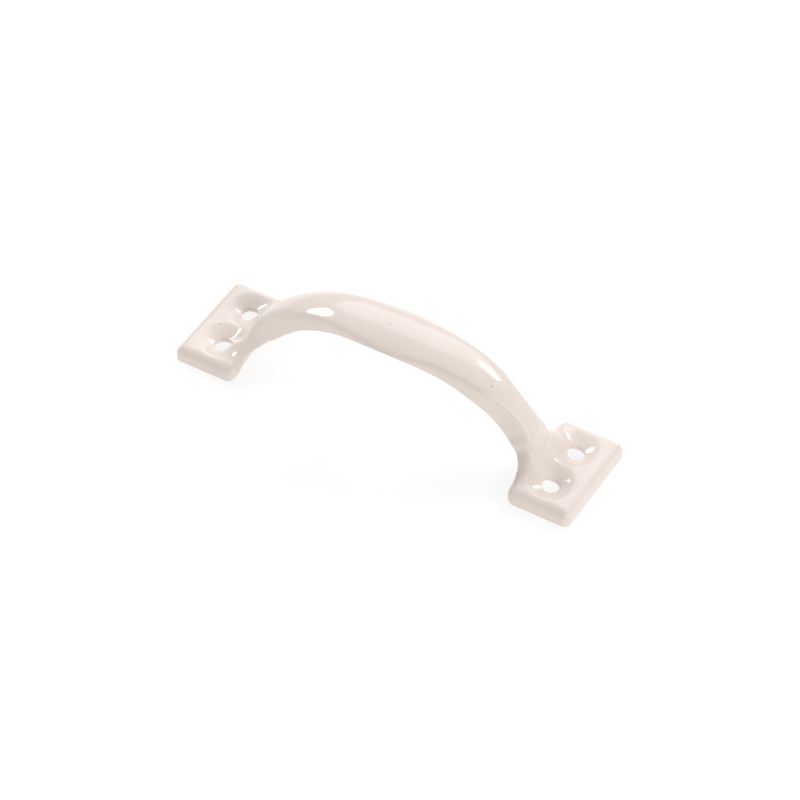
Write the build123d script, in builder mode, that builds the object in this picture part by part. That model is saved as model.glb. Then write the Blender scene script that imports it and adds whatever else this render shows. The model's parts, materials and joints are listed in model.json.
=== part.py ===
from build123d import *
import os
from math import acos, asin, cos, pi, radians, sin, sqrt, tan

# Sash lift handle: one steel pressing inside one continuous coat of stove enamel.
# Millimetres. The origin is the middle of the base, +X runs along the handle and +Z away
# from the sash. Sizes are those of the outside of the enamel unless they say otherwise.

# Overall size
overall_length = 115.0
foot_length = 17.5
foot_width = 30.2
foot_height = 4.0
crest_height = 29.1

# Sheet and coat
steel_thickness = 0.9
coat_thickness = 0.15
wall_thickness = steel_thickness + 2 * coat_thickness

# Corners and rolled edges
outer_corner_radius = 2.2
inner_corner_radius = 2.0
edge_roll_radius = 1.9

# Screw holes, each in a dish pressed into the foot
hole_spacing_x = 96.1
hole_spacing_y = 13.1
hole_radius = 2.2
dish_radius = 3.7
dish_depth = 0.8
dish_lip_radius = 2.5

# Side profile of the bow, from its middle down to a foot: arcs that run into each other. A short
# straight toe carries it down into the foot at a slight slope.
crown_radius = 160.0
crown_angle = 4.3
haunch_radius = 39.1
haunch_angle = 48.3
shoulder_radius = 13.3
limb_angle = 78.9
bend_radius = 1.85
toe_angle = 15.0
toe_length = 1.6

# Half widths of the bow, and the radius that flares it out into the foot
grip_half_width = 7.7
waist_half_width = 4.0
neck_half_width = 4.8
neck_radius = 6.6
neck_start = 2.1
waist_distance = 18.1

# The blank is a strip: where its top is narrower, its turned-down sides are deeper, except that
# they run out at the toe
blank_half_width = 11.6
toe_depth = 3.0
toe_distance = 2.6

# Crown across the top: nearly flat where it leaves the foot, full a little way up
top_radius = 12.0
flat_top_radius = 900.0
top_runout = 11.0

# Low arch under each neck, where the inner flange of the foot stops and the bow's sides begin
relief_half_width = 11.6
relief_height = 3.2

# Cutting tools reach this far past what they cut
overshoot = 1.5

# Distances of the cross-sections along the crest, close together where the neck flares
flare_distances = [0.0, 1.0, 2.1, 2.7, 3.5, 4.7, 6.5, 8.9]
bow_step_count = 8

foot_middle = (overall_length - foot_length) / 2


def draw_crest():
    """Half of the crest line, drawn flat: X is along the handle and Y its height."""
    with BuildLine() as line:
        crown = JernArc((0, crest_height), (1, 0), crown_radius, -crown_angle)
        haunch = JernArc(crown @ 1, crown % 1, haunch_radius, crown_angle - haunch_angle)
        shoulder = JernArc(haunch @ 1, haunch % 1, shoulder_radius, haunch_angle - limb_angle)
        toe_rise = toe_length / 2 * sin(radians(toe_angle))
        bend_drop = bend_radius * (cos(radians(toe_angle)) - cos(radians(limb_angle)))
        limb_drop = (shoulder @ 1).Y - foot_height - toe_rise - bend_drop
        limb_length = limb_drop / sin(radians(limb_angle))
        limb = Line(shoulder @ 1, shoulder @ 1 + (shoulder % 1) * limb_length)
        bend = JernArc(limb @ 1, limb % 1, bend_radius, limb_angle - toe_angle)
        Line(bend @ 1, bend @ 1 + (bend % 1) * toe_length)
    return line.wires()[0]


crest = draw_crest()
crest_length = crest.length


def half_width(distance, inset):
    """Half width of the bow, at a distance along the crest from the end of its toe."""
    if distance > waist_distance:
        ramp = (distance - waist_distance) / (crest_length - waist_distance)
        return waist_half_width + (grip_half_width - waist_half_width) * sin(pi / 2 * ramp) - inset
    taper = (1 + cos(pi * distance / waist_distance)) / 2
    width = waist_half_width + (neck_half_width - waist_half_width) * taper - inset
    flare_arc = neck_radius + inset
    into_flare = neck_start + neck_radius - distance
    if into_flare <= 0:
        return width
    return width + flare_arc - sqrt(flare_arc**2 - min(into_flare, flare_arc) ** 2)


def side_depth(distance):
    """Depth of the turned-down sides, from the crest to their lower edge."""
    if distance > waist_distance:
        return blank_half_width - half_width(distance, 0)
    waist_depth = blank_half_width - waist_half_width
    ramp = max(distance - toe_distance, 0) / (waist_distance - toe_distance)
    return toe_depth + (waist_depth - toe_depth) * sin(pi / 2 * ramp)


def top_radius_at(distance):
    """Radius of the crown across the top."""
    ramp = min(distance / top_runout, 1)
    return 1 / (ramp / top_radius + (1 - ramp) / flat_top_radius)


def crest_plane(distance, end):
    """Plane across the bow: its X runs along the width, its Y outwards from the crest."""
    along_crest = crest_length - distance
    point = crest.position_at(along_crest, position_mode=PositionMode.LENGTH)
    tangent = crest.tangent_at(along_crest, position_mode=PositionMode.LENGTH)
    return Plane(
        origin=(end * point.X, 0, point.Y),
        x_dir=(0, 1, 0),
        z_dir=(tangent.X, 0, end * tangent.Y),
    )


def draw_section(distance, end, inset, extra_depth):
    """Cross-section of the bow: crowned top, rolled edges and straight sides."""
    top = top_radius_at(distance)
    roll = edge_roll_radius - inset
    roll_y = half_width(distance, inset) - roll
    turn = asin(roll_y / (top - edge_roll_radius))
    roll_z = (top - edge_roll_radius) * cos(turn) - top
    middle = (pi / 2 + turn) / 2
    bottom = -side_depth(distance) - extra_depth

    side = Vector(roll_y + roll, roll_z)
    over = Vector(roll_y + roll * sin(middle), roll_z + roll * cos(middle))
    edge = Vector(roll_y + roll * sin(turn), roll_z + roll * cos(turn))
    foot = Vector(roll_y + roll, bottom)

    def opposite(point):
        return Vector(-point.X, point.Y)

    with BuildSketch(crest_plane(distance, end)) as section:
        with BuildLine():
            Line(foot, side)
            ThreePointArc(side, over, edge)
            ThreePointArc(edge, (0, -inset), opposite(edge))
            ThreePointArc(opposite(edge), opposite(over), opposite(side))
            Line(opposite(side), opposite(foot))
            Line(opposite(foot), foot)
        make_face()
    return section.sketch


def section_distances():
    """Every cross-section's distance, from the end of the toe to the middle of the bow."""
    last = flare_distances[-1]
    step = (crest_length - last) / bow_step_count
    return flare_distances + [last + step * (i + 1) for i in range(bow_step_count)]


def make_bow(inset, extra_depth):
    """Solid bow, shrunk by inset on its top and sides."""
    distances = section_distances()
    with BuildPart() as bow:
        for distance in distances:
            add(draw_section(distance, 1, inset, extra_depth))
        for distance in reversed(distances[:-1]):
            add(draw_section(distance, -1, inset, extra_depth))
        loft()
    return bow.part


def make_foot(end, inset, base):
    """Solid foot, shrunk by inset on its top and sides, from the height of its base."""
    with BuildPart() as foot:
        with BuildSketch(Plane.XY.offset(base)) as outline:
            with Locations((end * foot_middle, 0)):
                Rectangle(foot_length - 2 * inset, foot_width - 2 * inset)
            fillet(outline.vertices().group_by(SortBy.DISTANCE)[-1], outer_corner_radius - inset)
            fillet(outline.vertices().group_by(SortBy.DISTANCE)[0], inner_corner_radius - inset)
        extrude(amount=foot_height - inset - base)
        fillet(foot.faces().sort_by(Axis.Z)[-1].edges(), edge_roll_radius - inset)
    return foot.part


def make_dish(inset):
    """Cutter for one dish: a cone whose rim rolls over into the flat top of the foot."""
    slope = acos(1 / sqrt(1 + (dish_depth / (dish_radius - hole_radius)) ** 2))
    lip = dish_lip_radius + inset
    top = foot_height - inset
    rim = dish_radius + inset * tan(slope / 2)
    bottom = foot_height - dish_depth - inset / cos(slope)
    tangent_length = lip * tan(slope / 2)
    lip_start = (rim - tangent_length * cos(slope), top - tangent_length * sin(slope))
    lip_end = (rim + tangent_length, top)
    with BuildPart() as dish:
        with BuildSketch(Plane.XZ):
            with BuildLine():
                Polyline((0, top + overshoot), (0, bottom), (hole_radius, bottom), lip_start)
                TangentArc(lip_start, lip_end, tangent=(cos(slope), sin(slope)))
                Polyline(lip_end, (lip_end[0], top + overshoot), (0, top + overshoot))
            make_face()
        revolve(axis=Axis.Z)
    return dish.part


def make_relief(end, base):
    """Cutter for the low arch in the inner flange of one foot, under the neck."""
    flange = overall_length / 2 - foot_length
    with BuildPart() as relief:
        with BuildSketch(Plane.YZ.offset(end * (flange + wall_thickness / 2))):
            with BuildLine():
                ThreePointArc(
                    (-relief_half_width, base), (0, base + relief_height), (relief_half_width, base)
                )
                Polyline(
                    (relief_half_width, base),
                    (relief_half_width, -overshoot),
                    (-relief_half_width, -overshoot),
                    (-relief_half_width, base),
                )
            make_face()
        extrude(amount=wall_thickness / 2 + overshoot, both=True)
    return relief.part


def make_envelope(inset, base, extra_depth):
    """The whole handle as a solid, shrunk by inset from the outside of the enamel."""
    with BuildPart() as envelope:
        add(make_bow(inset, extra_depth))
        for end in (1, -1):
            add(make_foot(end, inset, base))
        with GridLocations(hole_spacing_x, hole_spacing_y, 2, 2):
            add(make_dish(inset), mode=Mode.SUBTRACT)
        if base >= 0:
            for end in (1, -1):
                add(make_relief(end, base), mode=Mode.SUBTRACT)
    return envelope.part


def make_holes(radius):
    """Cutter for the four screw holes."""
    with BuildPart() as holes:
        with GridLocations(hole_spacing_x, hole_spacing_y, 2, 2):
            Cylinder(radius, 2 * foot_height)
    return holes.part


os.makedirs("parts", exist_ok=True)

# The steel, bare: it lies one coat's thickness inside the enamel all round
with BuildPart() as steel_pressing:
    add(make_envelope(coat_thickness, coat_thickness, -coat_thickness))
    add(
        make_envelope(coat_thickness + steel_thickness, -overshoot, overshoot),
        mode=Mode.SUBTRACT,
    )
    add(make_holes(hole_radius + coat_thickness), mode=Mode.SUBTRACT)

# The enamel: a closed skin over both faces, every edge and the walls of the holes
with BuildPart() as enamel_coat:
    add(make_envelope(0, 0, 0))
    add(make_envelope(wall_thickness, -overshoot, overshoot), mode=Mode.SUBTRACT)
    add(make_holes(hole_radius), mode=Mode.SUBTRACT)
    add(steel_pressing.part, mode=Mode.SUBTRACT)

steel_pressing.part.label = "steel_pressing"
enamel_coat.part.label = "enamel_coat"
export_step(steel_pressing.part, "parts/steel_pressing.step")
export_step(enamel_coat.part, "parts/enamel_coat.step")
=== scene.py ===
import json
import math
import bpy
import numpy as np
from mathutils import Matrix, Vector


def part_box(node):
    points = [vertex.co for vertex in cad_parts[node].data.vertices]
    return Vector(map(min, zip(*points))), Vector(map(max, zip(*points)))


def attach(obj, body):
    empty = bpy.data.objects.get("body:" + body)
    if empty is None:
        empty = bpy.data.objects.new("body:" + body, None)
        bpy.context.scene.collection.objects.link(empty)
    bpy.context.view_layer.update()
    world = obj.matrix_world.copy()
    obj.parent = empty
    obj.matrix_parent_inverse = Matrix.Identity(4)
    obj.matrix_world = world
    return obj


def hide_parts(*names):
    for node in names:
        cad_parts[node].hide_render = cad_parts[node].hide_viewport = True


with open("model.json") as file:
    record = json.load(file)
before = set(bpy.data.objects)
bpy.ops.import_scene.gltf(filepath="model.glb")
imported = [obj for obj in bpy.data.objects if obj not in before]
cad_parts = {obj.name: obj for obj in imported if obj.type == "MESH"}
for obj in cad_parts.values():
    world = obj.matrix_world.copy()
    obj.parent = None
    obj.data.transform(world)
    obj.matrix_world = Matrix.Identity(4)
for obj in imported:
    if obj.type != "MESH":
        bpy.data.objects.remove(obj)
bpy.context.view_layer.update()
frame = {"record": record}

# ---------------------------------------------------------------------------
# Sizes, in millimetres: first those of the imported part
# ---------------------------------------------------------------------------
MM = 0.001
coat_low, coat_high = (np.array(c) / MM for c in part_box("enamel_coat"))
steel_low = np.array(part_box("steel_pressing")[0]) / MM
LENGTH = coat_high[0] - coat_low[0]
WIDTH = coat_high[1] - coat_low[1]
COAT = steel_low[2] - coat_low[2]
HOLES = next(m for m in frame["record"]["mounts"] if m["name"] == "screw_holes")["dims"]
HOLE_X = HOLES["spacing_x_mm"] / 2
HOLE_Y = HOLES["spacing_y_mm"] / 2
HOLE_R = HOLES["hole_r_mm"]

# Height of the crest over the base, and thickness of the enamelled sheet
HEIGHT = 28.85
SHEET = 1.2

# Feet: a rectangle with round corners and a rolled edge
FOOT_LENGTH = 18.0
FOOT_HEIGHT = 4.5
OUTER_CORNER = 1.8
INNER_CORNER = 2.6
FOOT_ROLL = 2.6

# Bow: radius of the crown across its top, and of its rolled edges
CROWN = 14.3
BOW_ROLL = 1.9

# Fillet between bow and foot: tight in the middle of the bend, wide at the sides of the neck
BEND_FILLET = 4.2
NECK_FILLET = 8.2
FILLET_START_Y = 2.5
FILLET_RAMP = 4.5

# Dish round each screw hole: a funnel, which goes on a little way inside the hole's edge
DISH_DEPTH = 1.7
DISH_RADIUS = 6.9
DISH_POWER = 1.42
DISH_LIMIT = 1.25

# Low arch under each neck
ARCH_HALF_WIDTH = 15.0
ARCH_HEIGHT = 5.5
ARCH_POWER = 2.5

# The bow's sides end at this distance from the middle plane, from this far along the crest
NICK_Y = 7.8
NICK_START = 40.0
NICK_RAMP = 5.0
NICK_LIFT = 20.0

# Rounding of the sheet's cut edges, and of the tip where side and arch meet
EDGE_ROUND = 0.35
TIP_ROUND = 0.9

# The steel lies a little deeper than the coat is thick, and ends this many times as far from
# the cut edges, which are rounded less by this share of its depth
CORE_CLEARANCE = 0.06
CORE_INSET = COAT + CORE_CLEARANCE
CORE_SETBACK = 2.0
CORE_SHARPENING = 0.9

# Side profile of the bow: (radius, angle at which the arc ends), then a straight limb
CREST_ARCS = ((160.0, 4.3), (39.2, 50.7), (14.3, 75.8))
# (distance along the crest from the middle, half width of the bow)
HALF_WIDTHS = (
    (0, 8.2), (13.75, 6.7), (27.15, 5.5), (33, 4.35), (38.25, 3.7),
    (43, 3.8), (46.75, 4.6), (52, 4.8), (60, 4.9),
)
# (distance along the crest from the middle, depth of the turned-down sides)
SIDE_DEPTHS = (
    (0, 3.3), (13.75, 4.6), (27.15, 5.85), (33, 6.7), (38.25, 7.25),
    (43, 7.2), (46.75, 6.35), (50, 5.5), (52.2, 4.1), (54, 3.8), (60, 2.6),
)

# Grid of the mesh. The offset keeps its planes off the base
GRID_STEP = 0.33
GRID_MARGIN = 2
GRID_OFFSET = 0.013

# Moving vertices on to the surface: rounds, longest move, step and least steepness of the slope
SETTLE_ROUNDS = 6
LONGEST_MOVE = 0.15
NUDGE = 0.001
LEAST_STEEPNESS = 0.25

FAR_INSIDE = -9.0
TINY = 1e-9


# ---------------------------------------------------------------------------
# The shape of the pressing, as a distance field: negative inside
# ---------------------------------------------------------------------------
def through(points, x):
    """Smooth curve through the points that never overshoots them."""
    xs, ys = np.array(points, float).T
    h = np.diff(xs)
    d = np.diff(ys) / h
    slope = np.zeros(len(xs))
    for i in range(1, len(xs) - 1):
        if d[i - 1] * d[i] > 0:
            w1 = 2 * h[i] + h[i - 1]
            w2 = h[i] + 2 * h[i - 1]
            slope[i] = (w1 + w2) / (w1 / d[i - 1] + w2 / d[i])
    x = np.clip(x, xs[0], xs[-1])
    i = np.clip(np.searchsorted(xs, x, side="right") - 1, 0, len(h) - 1)
    t = (x - xs[i]) / h[i]
    return (
        (1 + 2 * t) * (1 - t) ** 2 * ys[i]
        + t * (1 - t) ** 2 * h[i] * slope[i]
        + t * t * (3 - 2 * t) * ys[i + 1]
        + t * t * (t - 1) * h[i] * slope[i + 1]
    )


def crest_arcs():
    """The crest's arcs, and where its straight limb starts.

    An arc is (centre x, centre z, radius, first angle, last angle, distance along the crest).
    """
    along, x, z, start, arcs = 0.0, 0.0, HEIGHT, 0.0, []
    for radius, end_degrees in CREST_ARCS:
        end = math.radians(end_degrees)
        centre_x = x - radius * math.sin(start)
        centre_z = z - radius * math.cos(start)
        arcs.append((centre_x, centre_z, radius, start, end, along))
        along += radius * (end - start)
        x = centre_x + radius * math.sin(end)
        z = centre_z + radius * math.cos(end)
        start = end
    return arcs, (x, z, start, along)


ARCS, LIMB = crest_arcs()


def crest_place(x, z):
    """Distance along the crest, and depth below it, of points in the side view."""
    limb_x, limb_z, slope, start = LIMB
    along = start + (x - limb_x) * math.cos(slope) - (z - limb_z) * math.sin(slope)
    depth = -(x - limb_x) * math.sin(slope) - (z - limb_z) * math.cos(slope)
    found = np.zeros(x.shape, bool)
    for centre_x, centre_z, radius, first, last, so_far in ARCS:
        angle = np.arctan2(x - centre_x, z - centre_z)
        here = ~found & (angle <= last)
        along = np.where(here, so_far + radius * (angle - first), along)
        depth = np.where(here, radius - np.hypot(x - centre_x, z - centre_z), depth)
        found |= here
    return along, depth


def rounded(a, b, radius):
    """Where both a and b are inside, with the edge between them rounded."""
    a = a + radius
    b = b + radius
    return np.minimum(np.maximum(a, b), 0) + np.hypot(np.maximum(a, 0), np.maximum(b, 0)) - radius


def blended(a, b, radius):
    """Where a or b is inside, with a fillet in the corner between them."""
    return np.maximum(radius, np.minimum(a, b)) - np.hypot(
        np.maximum(radius - a, 0), np.maximum(radius - b, 0)
    )


def eased(t):
    """A smooth step from 0 to 1."""
    t = np.clip(t, 0, 1)
    return t * t * (3 - 2 * t)


def bow_field(y, along, depth):
    """The bow as a solid: crowned top, rolled edges and straight sides."""
    half = through(HALF_WIDTHS, along)
    centre_y = half - BOW_ROLL
    turn = np.arcsin(np.clip(centre_y / (CROWN - BOW_ROLL), -1, 1))
    centre_depth = CROWN - (CROWN - BOW_ROLL) * np.cos(turn)
    crown = np.hypot(y, CROWN - depth) - CROWN
    roll = np.hypot(y - centre_y, depth - centre_depth) - BOW_ROLL
    side = np.maximum(y - half, np.where(depth < CROWN, crown, FAR_INSIDE))
    top = np.where(np.arctan2(y, CROWN - depth) < turn, crown, roll)
    return np.where(depth > centre_depth, side, top)


def dish_depth(x, y):
    """How far the top of the foot is pressed down, by both dishes together."""
    depth = 0
    for hole_y in (HOLE_Y, -HOLE_Y):
        share = (DISH_RADIUS - np.hypot(x - HOLE_X, y - hole_y)) / (DISH_RADIUS - HOLE_R)
        depth = depth + DISH_DEPTH * np.clip(share, 0, DISH_LIMIT) ** DISH_POWER
    return depth


def foot_field(x, y, z):
    """A foot as a solid: a rectangle with round corners, rolled edges and two dishes."""
    from_middle = x - LENGTH / 2 + FOOT_LENGTH / 2
    corner = np.where(from_middle > 0, OUTER_CORNER, INNER_CORNER)
    past_x = abs(from_middle) - FOOT_LENGTH / 2 + corner
    past_y = y - WIDTH / 2 + corner
    inside = np.minimum(np.maximum(past_x, past_y), 0)
    outline = inside + np.hypot(np.maximum(past_x, 0), np.maximum(past_y, 0)) - corner
    return rounded(outline, z - FOOT_HEIGHT + dish_depth(x, y), FOOT_ROLL)


def sheet_field(x, y, z, along, depth, inset):
    """The sheet itself: a constant thickness inside the solid, cut off at its edges and holes."""
    x, y = abs(x), abs(y)
    fillet_share = eased((y - FILLET_START_Y) / FILLET_RAMP)
    fillet = BEND_FILLET + (NECK_FILLET - BEND_FILLET) * fillet_share
    solid = blended(bow_field(y, along, depth), foot_field(x, y, z), fillet)
    sheet = abs(solid + SHEET / 2) - SHEET / 2 + inset

    nick = NICK_Y - y + NICK_LIFT * (1 - eased((along - NICK_START) / NICK_RAMP))
    below_side = np.minimum(depth - through(SIDE_DEPTHS, along), nick)
    arch = ARCH_HEIGHT * np.clip(1 - (y / ARCH_HALF_WIDTH) ** ARCH_POWER, 0, 1)
    arch = arch * eased(depth - SHEET)
    cut = rounded(below_side, arch - z, TIP_ROUND) + CORE_SETBACK * inset

    from_hole = np.hypot(x - HOLE_X, y - HOLE_Y)
    cut = np.maximum(cut, HOLE_R - from_hole + inset)
    return rounded(sheet, cut, EDGE_ROUND - CORE_SHARPENING * inset)


def field_at(points, inset):
    """The field at scattered points."""
    x, y, z = points.T
    along, depth = crest_place(abs(x), z)
    return sheet_field(x, y, z, along, depth, inset)


# ---------------------------------------------------------------------------
# From the field to a mesh of quads
# ---------------------------------------------------------------------------
def field_grid(step, inset):
    """The field on a grid over the whole object, mirrored from a quarter of it."""
    margin = GRID_MARGIN * step
    xs = np.arange(step / 2, LENGTH / 2 + margin, step)
    ys = np.arange(step / 2, WIDTH / 2 + margin, step)
    zs = np.arange(-margin + GRID_OFFSET, HEIGHT + margin, step)
    side_x, side_z = np.meshgrid(xs, zs, indexing="ij")
    along, depth = crest_place(side_x, side_z)
    gx, gy, gz = np.meshgrid(xs, ys, zs, indexing="ij")
    along = np.broadcast_to(along[:, None, :], gx.shape)
    depth = np.broadcast_to(depth[:, None, :], gx.shape)
    grid = sheet_field(gx, gy, gz, along, depth, inset)
    grid = np.concatenate([grid[:, ::-1], grid], 1)
    grid = np.concatenate([grid[::-1], grid], 0)
    return grid, np.array([-xs[-1], -ys[-1], zs[0]])


def surface_net(grid, origin, step):
    """One vertex in each grid cell that the surface crosses, one quad at each crossed grid edge."""
    inside = grid < 0
    nx, ny, nz = grid.shape
    corners = [(i, j, k) for i in (0, 1) for j in (0, 1) for k in (0, 1)]

    def at(values, corner):
        i, j, k = corner
        return values[i : nx - 1 + i, j : ny - 1 + j, k : nz - 1 + k]

    count = sum(at(inside, c).astype(np.int8) for c in corners)
    crossed = (count > 0) & (count < len(corners))
    cells = np.argwhere(crossed)
    number = np.full(crossed.shape, -1)
    number[crossed] = np.arange(len(cells))
    value = {c: at(grid, c)[crossed] for c in corners}

    # A cell's vertex is the mean of the places where the surface crosses its edges
    total = np.zeros((len(cells), 3))
    hits = np.zeros(len(cells))
    for c in corners:
        for axis in range(3):
            if c[axis] == 1:
                continue
            other = tuple(1 if n == axis else c[n] for n in range(3))
            a, b = value[c], value[other]
            hit = (a < 0) != (b < 0)
            point = np.tile(np.array(c, float), (len(cells), 1))
            point[:, axis] += np.where(hit, a / np.where(hit, a - b, 1), 0)
            total += point * hit[:, None]
            hits += hit
    vertices = (cells + total / hits[:, None]) * step + origin

    def cell_at(places):
        return number[tuple(places.T)]

    quads = []
    for axis in range(3):
        one, two = np.roll(np.eye(3, dtype=int), -axis - 1, 0)[:2]
        low, high = [slice(None)] * 3, [slice(None)] * 3
        low[axis], high[axis] = slice(0, -1), slice(1, None)
        edges = np.argwhere(inside[tuple(low)] != inside[tuple(high)])
        round_edge = (edges - one - two, edges - two, edges, edges - one)
        quad = np.stack([cell_at(places) for places in round_edge], 1)
        outward = ~inside[tuple(edges.T)]
        quad[outward] = quad[outward][:, ::-1]
        quads.append(quad)
    return vertices, np.vstack(quads)


def settle(vertices, inset):
    """Moves each vertex on to the surface, and gives the surface's normals there."""
    for _ in range(SETTLE_ROUNDS):
        value = field_at(vertices, inset)
        rises = [
            field_at(vertices + NUDGE * unit, inset) - field_at(vertices - NUDGE * unit, inset)
            for unit in np.eye(3)
        ]
        slope = np.stack(rises, 1) / (2 * NUDGE)
        steepness = np.maximum((slope**2).sum(1), LEAST_STEEPNESS)
        move = -(value / steepness)[:, None] * slope
        far = np.linalg.norm(move, axis=1)
        vertices = vertices + move * np.minimum(1, LONGEST_MOVE / np.maximum(far, TINY))[:, None]
    return vertices, slope / np.maximum(np.linalg.norm(slope, axis=1), TINY)[:, None]


def build_sheet(name, inset):
    """The sheet as a mesh object, shrunk by inset all round."""
    grid, origin = field_grid(GRID_STEP, inset)
    vertices, quads = surface_net(grid, origin, GRID_STEP)
    vertices, normals = settle(vertices, inset)
    mesh = bpy.data.meshes.new(name)
    mesh.from_pydata((vertices * MM).tolist(), [], quads.tolist())
    mesh.validate()
    mesh.polygons.foreach_set("use_smooth", [True] * len(mesh.polygons))
    mesh.normals_split_custom_set_from_vertices(normals.tolist())
    mesh.update()
    piece = bpy.data.objects.new(name, mesh)
    bpy.context.scene.collection.objects.link(piece)
    return piece


# ---------------------------------------------------------------------------
# Materials
# ---------------------------------------------------------------------------
BLACK = (0, 0, 0)
WHITE = (1, 1, 1)

ENAMEL_TINTS = ((0.79, 0.69, 0.62), (0.83, 0.735, 0.67))
ENAMEL_IOR = 1.52
ENAMEL_ROUGHNESS = (0.08, 0.13)
SPECK_COLOUR = (0.22, 0.13, 0.08)
SPECK_CELLS = 500
SPECK_RADII = (0.05, 0.12)
SPECK_CHOICE = (0.93, 0.94)
PEEL_SHARE = 0.25
BUMP_STRENGTH = 0.25
BUMP_DISTANCE = 0.0002

STEEL_TINTS = ((0.20, 0.19, 0.185), (0.36, 0.35, 0.34))
STEEL_ROUGHNESS = (0.35, 0.6)

# A noise's value is nearly always between these
NOISE_RANGE = (0.3, 0.7)


def new_material(name):
    """A material whose textures are placed by the object's own coordinates."""
    material = bpy.data.materials.new(name)
    material.use_nodes = True
    nodes = material.node_tree.nodes
    place = nodes.new("ShaderNodeTexCoord")
    place.name = "place"
    return material, nodes, material.node_tree.links, nodes["Principled BSDF"]


def ramp_of(nodes, places, colours):
    """A colour ramp between two places."""
    ramp = nodes.new("ShaderNodeValToRGB")
    for element, place, colour in zip(ramp.color_ramp.elements, places, colours):
        element.position = place
        element.color = (*colour, 1)
    return ramp


def noise_of(nodes, links, scale, detail, roughness=0.5):
    noise = nodes.new("ShaderNodeTexNoise")
    noise.inputs["Scale"].default_value = scale
    noise.inputs["Detail"].default_value = detail
    noise.inputs["Roughness"].default_value = roughness
    links.new(nodes["place"].outputs["Object"], noise.inputs["Vector"])
    return noise


def tint_of(nodes, links, noise, tints):
    """Colour that drifts between two tints with the noise."""
    tint = ramp_of(nodes, NOISE_RANGE, tints)
    links.new(noise.outputs["Fac"], tint.inputs["Fac"])
    return tint


def range_of(nodes, links, noise, limits):
    """Value that drifts between two limits with the noise."""
    spread = nodes.new("ShaderNodeMapRange")
    spread.inputs["To Min"].default_value, spread.inputs["To Max"].default_value = limits
    links.new(noise.outputs["Fac"], spread.inputs["Value"])
    return spread


def math_of(nodes, operation):
    node = nodes.new("ShaderNodeMath")
    node.operation = operation
    return node


def specks_of(nodes, links):
    """1 at a few small scattered dots and 0 elsewhere."""
    cells = nodes.new("ShaderNodeTexVoronoi")
    cells.inputs["Scale"].default_value = SPECK_CELLS
    links.new(nodes["place"].outputs["Object"], cells.inputs["Vector"])
    dot = ramp_of(nodes, SPECK_RADII, (WHITE, BLACK))
    links.new(cells.outputs["Distance"], dot.inputs["Fac"])
    cell_value = nodes.new("ShaderNodeSeparateColor")
    links.new(cells.outputs["Color"], cell_value.inputs["Color"])
    chosen = ramp_of(nodes, SPECK_CHOICE, (BLACK, WHITE))
    links.new(cell_value.outputs["Red"], chosen.inputs["Fac"])
    speck = math_of(nodes, "MULTIPLY")
    links.new(dot.outputs["Color"], speck.inputs[0])
    links.new(chosen.outputs["Color"], speck.inputs[1])
    return speck


def enamel_material():
    material, nodes, links, shader = new_material("warm_white_enamel")
    shader.inputs["IOR"].default_value = ENAMEL_IOR

    # Colour: slightly uneven thickness, and specks where the steel shows through
    cloud = noise_of(nodes, links, scale=60, detail=3)
    tint = tint_of(nodes, links, cloud, ENAMEL_TINTS)
    speck = specks_of(nodes, links)
    mix = nodes.new("ShaderNodeMix")
    mix.data_type = "RGBA"
    mix.inputs["B"].default_value = (*SPECK_COLOUR, 1)
    links.new(speck.outputs["Value"], mix.inputs["Factor"])
    links.new(tint.outputs["Color"], mix.inputs["A"])
    links.new(mix.outputs["Result"], shader.inputs["Base Color"])

    # Gloss: fired glass with a faint haze in patches
    haze = noise_of(nodes, links, scale=150, detail=2)
    gloss = range_of(nodes, links, haze, ENAMEL_ROUGHNESS)
    links.new(gloss.outputs["Result"], shader.inputs["Roughness"])

    # Surface: gentle orange peel over soft lumps, and a shallow pit at each speck
    peel = noise_of(nodes, links, scale=330, detail=1)
    lumps = noise_of(nodes, links, scale=90, detail=2)
    waves = math_of(nodes, "MULTIPLY_ADD")
    waves.inputs[1].default_value = PEEL_SHARE
    links.new(peel.outputs["Fac"], waves.inputs[0])
    links.new(lumps.outputs["Fac"], waves.inputs[2])
    pitted = math_of(nodes, "SUBTRACT")
    links.new(waves.outputs["Value"], pitted.inputs[0])
    links.new(speck.outputs["Value"], pitted.inputs[1])
    bump = nodes.new("ShaderNodeBump")
    bump.inputs["Strength"].default_value = BUMP_STRENGTH
    bump.inputs["Distance"].default_value = BUMP_DISTANCE
    links.new(pitted.outputs["Value"], bump.inputs["Height"])
    links.new(bump.outputs["Normal"], shader.inputs["Normal"])
    return material


def steel_material():
    material, nodes, links, shader = new_material("pressed_steel")
    shader.inputs["Metallic"].default_value = 1.0
    mill_scale = noise_of(nodes, links, scale=120, detail=6, roughness=0.65)
    tint = tint_of(nodes, links, mill_scale, STEEL_TINTS)
    links.new(tint.outputs["Color"], shader.inputs["Base Color"])
    rough = range_of(nodes, links, mill_scale, STEEL_ROUGHNESS)
    links.new(rough.outputs["Result"], shader.inputs["Roughness"])
    return material


# ---------------------------------------------------------------------------
# The two pieces
# ---------------------------------------------------------------------------
enamel = build_sheet("enamelled_sheet", 0.0)
enamel.data.materials.append(enamel_material())
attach(enamel, "root")
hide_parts("enamel_coat")

core = build_sheet("steel_core", CORE_INSET)
core.data.materials.append(steel_material())
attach(core, "root")
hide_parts("steel_pressing")


# ---------------------------------------------------------------------------
# Floor, light and camera: lengths of floor and lights in metres, power in watts
# ---------------------------------------------------------------------------
FLOOR_REACH = 3.0
FLOOR_TINTS = ((0.24, 0.24, 0.24), (0.27, 0.27, 0.27))
FLOOR_ROUGHNESS = 0.9
FLOOR_GLOW = 0.77
WORLD_STRENGTH = 0.52

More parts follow.
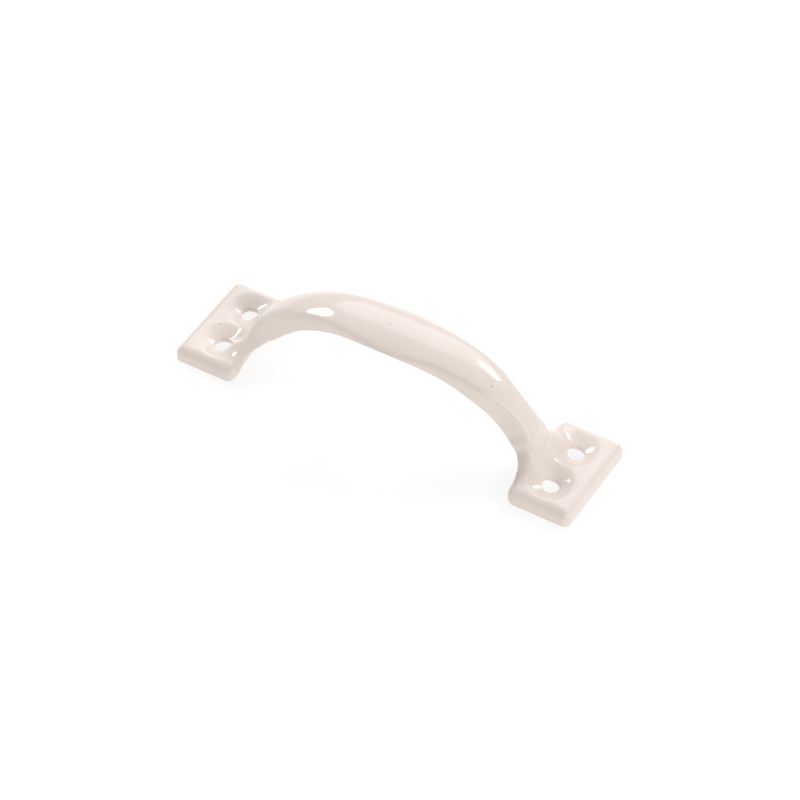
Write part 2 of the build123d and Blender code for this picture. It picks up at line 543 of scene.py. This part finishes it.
# (name, azimuth, elevation, distance, width, height, power, colour)
LIGHTS = (
    ("back_panel", -165, 42, 1.2, 1.4, 1.0, 4.4, (0.95, 0.96, 1.07)),
    ("front_fill", 62, 25, 1.2, 1.0, 0.8, 4.5, WHITE),
    ("left_box", -107, 36, 1.8, 0.52, 0.62, 8.5, WHITE),
    ("rear_box", 160, 37, 1.8, 0.54, 0.34, 7, WHITE),
)

# Camera: a long lens, 29 degrees round to the right and 45 degrees up, sizes in millimetres
AIM = Vector((0, 0, 10))
CAMERA_AZIMUTH = 29.22
CAMERA_ELEVATION = 45.10
CAMERA_ROLL = 1.54
CAMERA_DISTANCE = 1010.3
SHIFT_RIGHT = -0.542
SHIFT_UP = 5.389
SENSOR_WIDTH = 36
FOCAL_LENGTH = 5 * SENSOR_WIDTH
CLIP_START, CLIP_END = 0.01, 20


def direction_to(azimuth, elevation):
    """Direction, from the object, of something at an azimuth and elevation in degrees."""
    azimuth, elevation = math.radians(azimuth), math.radians(elevation)
    return Vector(
        (
            math.sin(azimuth) * math.cos(elevation),
            -math.cos(azimuth) * math.cos(elevation),
            math.sin(elevation),
        )
    )


def add_floor():
    reach = FLOOR_REACH
    mesh = bpy.data.meshes.new("floor")
    corners = [(-reach, -reach, 0), (reach, -reach, 0), (reach, reach, 0), (-reach, reach, 0)]
    mesh.from_pydata(corners, [], [(0, 1, 2, 3)])
    floor = bpy.data.objects.new("floor", mesh)
    bpy.context.scene.collection.objects.link(floor)
    material, nodes, links, shader = new_material("white_paper")
    grain = noise_of(nodes, links, scale=40, detail=3)
    tint = tint_of(nodes, links, grain, FLOOR_TINTS)
    links.new(tint.outputs["Color"], shader.inputs["Base Color"])
    shader.inputs["Roughness"].default_value = FLOOR_ROUGHNESS
    shader.inputs["Specular IOR Level"].default_value = 0.0
    shader.inputs["Emission Color"].default_value = (*WHITE, 1)
    shader.inputs["Emission Strength"].default_value = FLOOR_GLOW
    mesh.materials.append(material)


def add_world():
    world = bpy.data.worlds.new("studio")
    bpy.context.scene.world = world
    world.use_nodes = True
    background = world.node_tree.nodes["Background"]
    background.inputs["Color"].default_value = (*WHITE, 1)
    background.inputs["Strength"].default_value = WORLD_STRENGTH


def add_area(name, azimuth, elevation, distance, width, height, power, colour):
    """An oval soft box aimed at the object."""
    towards = direction_to(azimuth, elevation)
    light = bpy.data.lights.new(name, "AREA")
    light.shape = "ELLIPSE"
    light.size, light.size_y = width, height
    light.energy = power
    light.color = colour
    lamp = bpy.data.objects.new(name, light)
    lamp.location = towards * distance + AIM * MM
    lamp.rotation_mode = "QUATERNION"
    lamp.rotation_quaternion = towards.to_track_quat("Z", "Y")
    bpy.context.scene.collection.objects.link(lamp)


def add_camera():
    azimuth, roll = math.radians(CAMERA_AZIMUTH), math.radians(CAMERA_ROLL)
    back = direction_to(CAMERA_AZIMUTH, CAMERA_ELEVATION)
    right = Vector((math.cos(azimuth), math.sin(azimuth), 0))
    up = back.cross(right)
    rolled_right = right * math.cos(roll) + up * math.sin(roll)
    rolled_up = up * math.cos(roll) - right * math.sin(roll)
    place = AIM - rolled_right * SHIFT_RIGHT - rolled_up * SHIFT_UP + back * CAMERA_DISTANCE
    data = bpy.data.cameras.new("camera")
    data.sensor_width = SENSOR_WIDTH
    data.lens = FOCAL_LENGTH
    data.clip_start, data.clip_end = CLIP_START, CLIP_END
    camera = bpy.data.objects.new("camera", data)
    bpy.context.scene.collection.objects.link(camera)
    turn = Matrix((rolled_right, rolled_up, back)).transposed().to_4x4()
    camera.matrix_world = Matrix.Translation(place * MM) @ turn
    bpy.context.scene.camera = camera


add_floor()
add_world()
for settings in LIGHTS:
    add_area(*settings)
add_camera()
bpy.context.scene.view_settings.view_transform = "Standard"
